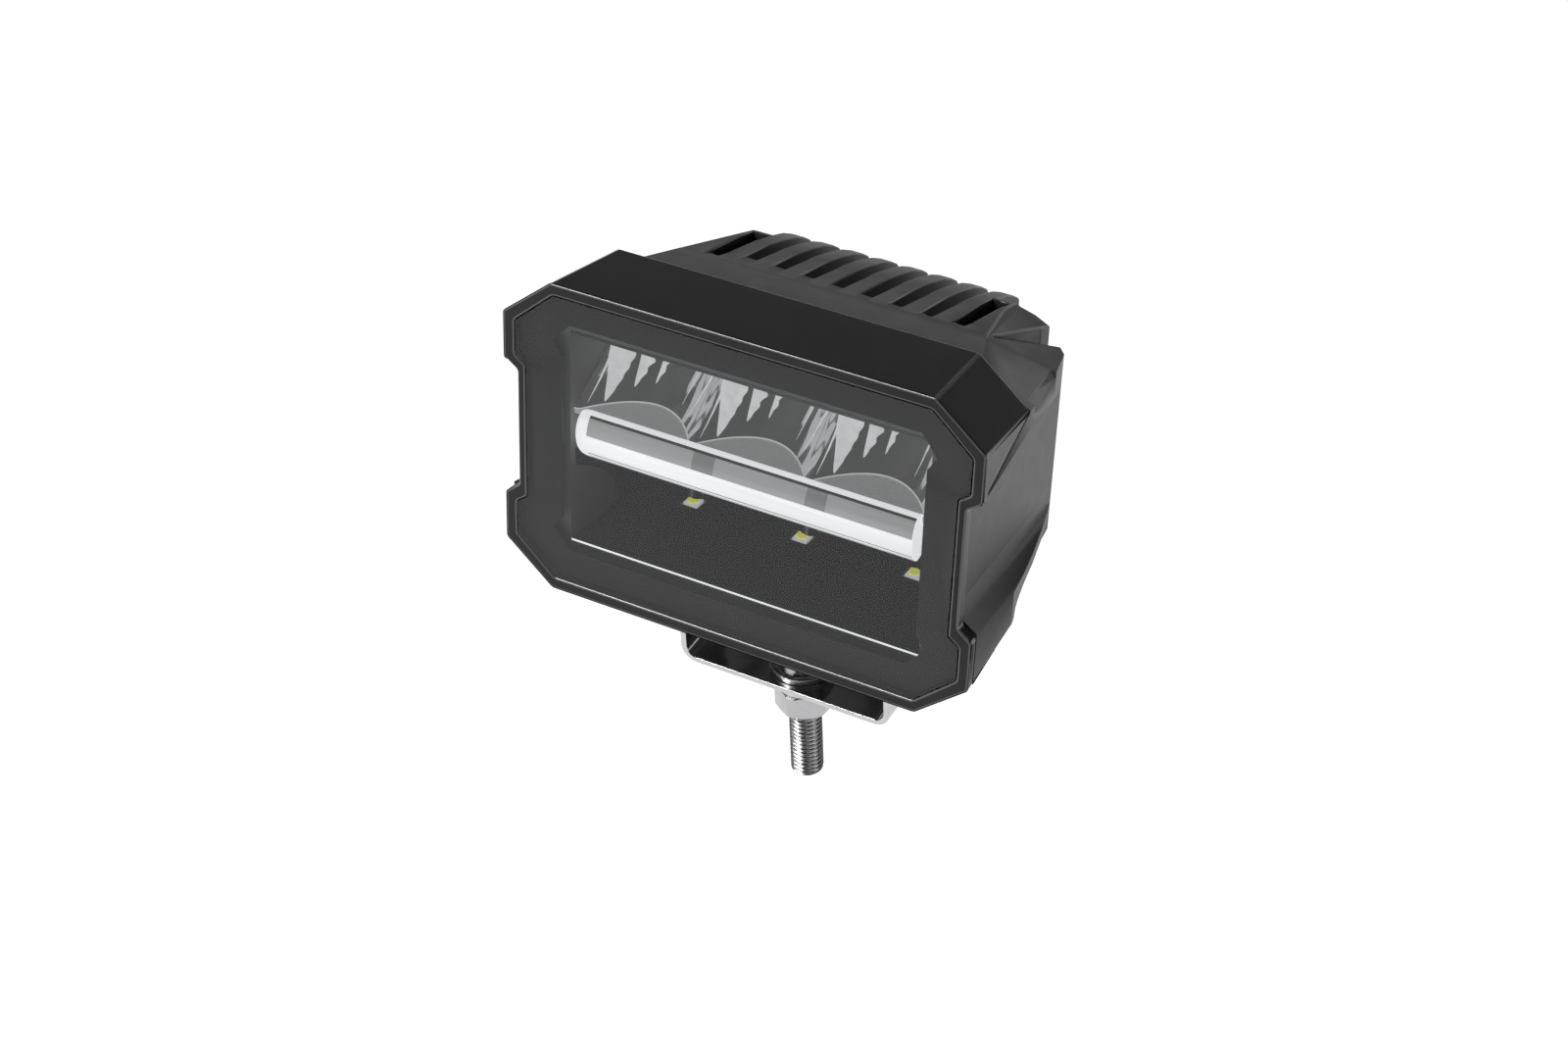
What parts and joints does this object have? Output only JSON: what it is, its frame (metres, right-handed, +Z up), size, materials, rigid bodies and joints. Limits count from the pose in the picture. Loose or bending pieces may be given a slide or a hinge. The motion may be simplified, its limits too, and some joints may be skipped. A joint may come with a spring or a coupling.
{
  "type": "fog light",
  "caption": "Rectangular LED fog light with a finned rear housing, lit position-light bar, tilting U bracket and a single mounting bolt.",
  "frame": {"origin": "centre of the mounting nut's lower face, on the mounting bolt's axis", "axes": "+Z up the bolt towards the lamp, the lens faces -Y, +X to the right of a viewer who faces the lens"},
  "size_m": [0.115, 0.0869, 0.1399],
  "materials": {
    "bezel_black": "satin black powder coat, fine grain",
    "lens_clear": "clear polycarbonate, polished",
    "mask_grey": "dark print seen through the lens",
    "seal_rubber": "soft silicone",
    "housing_black": "matt black powder coat on cast aluminium",
    "frame_grey": "grey moulded plastic",
    "reflector_metal": "vacuum metallised plastic",
    "floor_dark": "dark mirror-gloss plate",
    "board_white": "white solder mask on a metal board",
    "led_phosphor": "yellow phosphor on a white package",
    "pad_pink": "soft thermal pad",
    "guide_white": "lit diffusing light guide",
    "holder_grain": "sparkled grey plastic, fine grain",
    "board_green": "green solder mask",
    "parts_dark": "mixed electronic parts",
    "gland_black": "moulded black plastic",
    "screw_steel": "stainless steel",
    "bracket_steel": "polished stainless steel",
    "bolt_steel": "plated steel thread"
  },
  "bodies": {
    "mount": {"mount_bolt": "bolt_steel", "head_washer": "screw_steel", "flat_washer": "screw_steel", "spring_washer": "screw_steel", "mount_nut": "bracket_steel"},
    "bracket": {"mounting_bracket": "bracket_steel"},
    "head": {"front_bezel": "bezel_black", "front_lens": "lens_clear", "lens_mask": "mask_grey", "lens_gasket": "seal_rubber", "rear_housing": "housing_black", "inner_frame": "frame_grey", "upper_reflector": "reflector_metal", "lower_reflector": "reflector_metal", "upper_plate": "floor_dark", "lower_plate": "floor_dark", "upper_led_board": "board_white", "lower_led_board": "board_white", "upper_leds": "led_phosphor", "lower_leds": "led_phosphor", "upper_thermal_pad": "pad_pink", "lower_thermal_pad": "pad_pink", "light_guide": "guide_white", "guide_holder": "holder_grain", "guide_board": "board_green", "guide_leds": "led_phosphor", "driver_board": "board_green", "driver_parts": "parts_dark", "breather_vent": "gland_black", "cable_gland": "gland_black", "board_screws": "screw_steel", "pivot_bolts": "screw_steel", "pivot_spring_washers": "screw_steel", "pivot_flat_washers": "screw_steel"}
  },
  "joints": [
    {"name": "bracket_swivel", "type": "hinge", "parent": "mount", "child": "bracket", "pos_m": [0, 0, 0.0104], "axis": [0, 0, 1], "continuous": true},
    {"name": "head_tilt", "type": "hinge", "parent": "bracket", "child": "head", "pos_m": [0, 0, 0.0332], "axis": [1, 0, 0], "range_deg": [-45, 60]}
  ]
}
